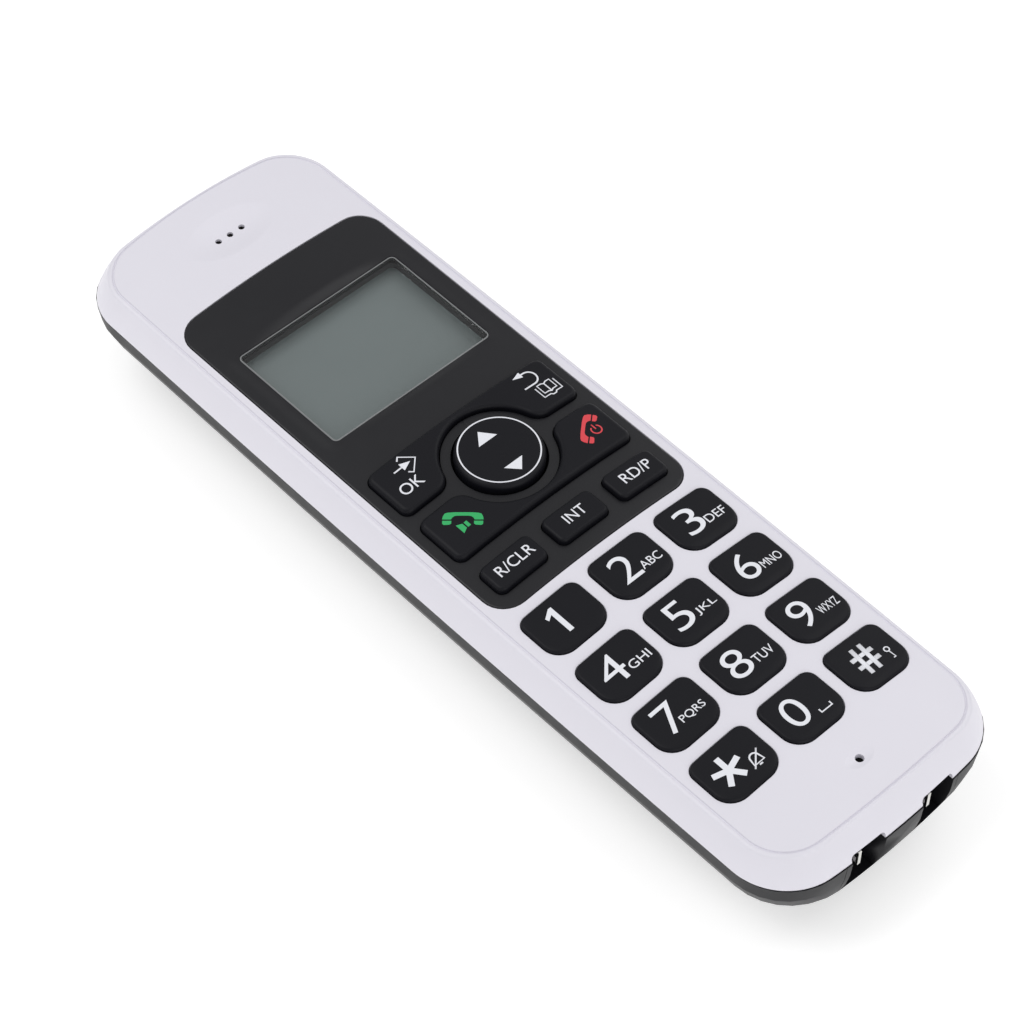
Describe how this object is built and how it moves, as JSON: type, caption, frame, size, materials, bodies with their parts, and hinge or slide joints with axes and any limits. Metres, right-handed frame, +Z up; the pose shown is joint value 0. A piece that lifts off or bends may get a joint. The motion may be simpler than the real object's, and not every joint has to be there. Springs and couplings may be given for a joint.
{
  "type": "cordless telephone handset",
  "caption": "Slim cordless telephone handset with a crowned light face, dark display fascia, push keys, rocker key, sliding battery door and charging slots.",
  "frame": {"origin": "middle of the flat back that the handset lies on", "axes": "+Z up out of the face, +Y towards the earpiece end, +X to the right of the face"},
  "size_m": [0.0482, 0.16, 0.0238],
  "materials": {
    "cover_white": "satin",
    "rear_dark": "satin",
    "fascia_dark": "satin",
    "clear_window": "clear",
    "foam": "matte",
    "lcd_panel": "gloss",
    "frame_white": "matte",
    "light_guide": "gloss",
    "silicone_sheet": "matte",
    "rubber_dark": "matte",
    "steel": "bright",
    "circuit_board": "satin",
    "component_black": "satin",
    "cell_sleeve": "gloss",
    "lead_wire": "satin"
  },
  "bodies": {
    "handset": {"front_cover": "cover_white", "rear_cover": "rear_dark", "contact_holder": "rear_dark", "fascia": "fascia_dark", "display_window": "clear_window", "window_gasket": "foam", "lcd_glass": "lcd_panel", "lcd_frame": "frame_white", "light_guide": "light_guide", "lcd_connector": "foam", "keypad_mat": "silicone_sheet", "snap_domes": "steel", "main_board": "circuit_board", "shield_can": "steel", "board_components": "component_black", "antenna": "steel", "earpiece_receiver": "component_black", "receiver_gasket": "foam", "microphone": "steel", "microphone_boot": "rubber_dark", "ringer_speaker": "component_black", "speaker_gasket": "foam", "speaker_leads": "lead_wire", "charge_contact_left": "steel", "charge_contact_right": "steel", "battery_cell_left": "cell_sleeve", "battery_cell_right": "cell_sleeve", "battery_terminal_positive": "steel", "battery_terminal_negative": "steel", "battery_link_plate": "steel", "cover_screws": "steel", "board_screws": "steel"},
    "key_1": {"key_1": "rubber_dark"},
    "key_2": {"key_2": "rubber_dark"},
    "key_3": {"key_3": "rubber_dark"},
    "key_4": {"key_4": "rubber_dark"},
    "key_5": {"key_5": "rubber_dark"},
    "key_6": {"key_6": "rubber_dark"},
    "key_7": {"key_7": "rubber_dark"},
    "key_8": {"key_8": "rubber_dark"},
    "key_9": {"key_9": "rubber_dark"},
    "key_star": {"key_star": "rubber_dark"},
    "key_0": {"key_0": "rubber_dark"},
    "key_hash": {"key_hash": "rubber_dark"},
    "recall_key": {"recall_key": "rubber_dark"},
    "intercom_key": {"intercom_key": "rubber_dark"},
    "redial_key": {"redial_key": "rubber_dark"},
    "menu_key": {"menu_key": "rubber_dark"},
    "back_key": {"back_key": "rubber_dark"},
    "talk_key": {"talk_key": "rubber_dark"},
    "end_key": {"end_key": "rubber_dark"},
    "nav_rocker": {"nav_rocker": "rubber_dark"},
    "battery_door": {"battery_door": "rear_dark"}
  },
  "joints": [
    {"name": "key_1_press", "type": "slide", "parent": "handset", "child": "key_1", "axis": [0, 0, -1], "range_m": [0, 0.0009], "stiffness_N_per_m": 1500},
    {"name": "key_2_press", "type": "slide", "parent": "handset", "child": "key_2", "axis": [0, 0, -1], "range_m": [0, 0.0009], "stiffness_N_per_m": 1500},
    {"name": "key_3_press", "type": "slide", "parent": "handset", "child": "key_3", "axis": [0, 0, -1], "range_m": [0, 0.0009], "stiffness_N_per_m": 1500},
    {"name": "key_4_press", "type": "slide", "parent": "handset", "child": "key_4", "axis": [0, 0, -1], "range_m": [0, 0.0009], "stiffness_N_per_m": 1500},
    {"name": "key_5_press", "type": "slide", "parent": "handset", "child": "key_5", "axis": [0, 0, -1], "range_m": [0, 0.0009], "stiffness_N_per_m": 1500},
    {"name": "key_6_press", "type": "slide", "parent": "handset", "child": "key_6", "axis": [0, 0, -1], "range_m": [0, 0.0009], "stiffness_N_per_m": 1500},
    {"name": "key_7_press", "type": "slide", "parent": "handset", "child": "key_7", "axis": [0, 0, -1], "range_m": [0, 0.0009], "stiffness_N_per_m": 1500},
    {"name": "key_8_press", "type": "slide", "parent": "handset", "child": "key_8", "axis": [0, 0, -1], "range_m": [0, 0.0009], "stiffness_N_per_m": 1500},
    {"name": "key_9_press", "type": "slide", "parent": "handset", "child": "key_9", "axis": [0, 0, -1], "range_m": [0, 0.0009], "stiffness_N_per_m": 1500},
    {"name": "key_star_press", "type": "slide", "parent": "handset", "child": "key_star", "axis": [0, 0, -1], "range_m": [0, 0.0009], "stiffness_N_per_m": 1500},
    {"name": "key_0_press", "type": "slide", "parent": "handset", "child": "key_0", "axis": [0, 0, -1], "range_m": [0, 0.0009], "stiffness_N_per_m": 1500},
    {"name": "key_hash_press", "type": "slide", "parent": "handset", "child": "key_hash", "axis": [0, 0, -1], "range_m": [0, 0.0009], "stiffness_N_per_m": 1500},
    {"name": "recall_key_press", "type": "slide", "parent": "handset", "child": "recall_key", "axis": [0, 0, -1], "range_m": [0, 0.0009], "stiffness_N_per_m": 1500},
    {"name": "intercom_key_press", "type": "slide", "parent": "handset", "child": "intercom_key", "axis": [0, 0, -1], "range_m": [0, 0.0009], "stiffness_N_per_m": 1500},
    {"name": "redial_key_press", "type": "slide", "parent": "handset", "child": "redial_key", "axis": [0, 0, -1], "range_m": [0, 0.0009], "stiffness_N_per_m": 1500},
    {"name": "menu_key_press", "type": "slide", "parent": "handset", "child": "menu_key", "axis": [0, 0, -1], "range_m": [0, 0.0009], "stiffness_N_per_m": 1500},
    {"name": "back_key_press", "type": "slide", "parent": "handset", "child": "back_key", "axis": [0, 0, -1], "range_m": [0, 0.0009], "stiffness_N_per_m": 1500},
    {"name": "talk_key_press", "type": "slide", "parent": "handset", "child": "talk_key", "axis": [0, 0, -1], "range_m": [0, 0.0009], "stiffness_N_per_m": 1500},
    {"name": "end_key_press", "type": "slide", "parent": "handset", "child": "end_key", "axis": [0, 0, -1], "range_m": [0, 0.0009], "stiffness_N_per_m": 1500},
    {"name": "nav_rocker_tilt", "type": "hinge", "parent": "handset", "child": "nav_rocker", "pos_m": [0, 0.00392, 0.01815], "axis": [1, 0, 0], "range_deg": [-4, 4], "stiffness_Nm_per_rad": 0.1},
    {"name": "battery_door_slide", "type": "slide", "parent": "handset", "child": "battery_door", "axis": [0, -1, 0], "range_m": [0, 0.075]}
  ]
}
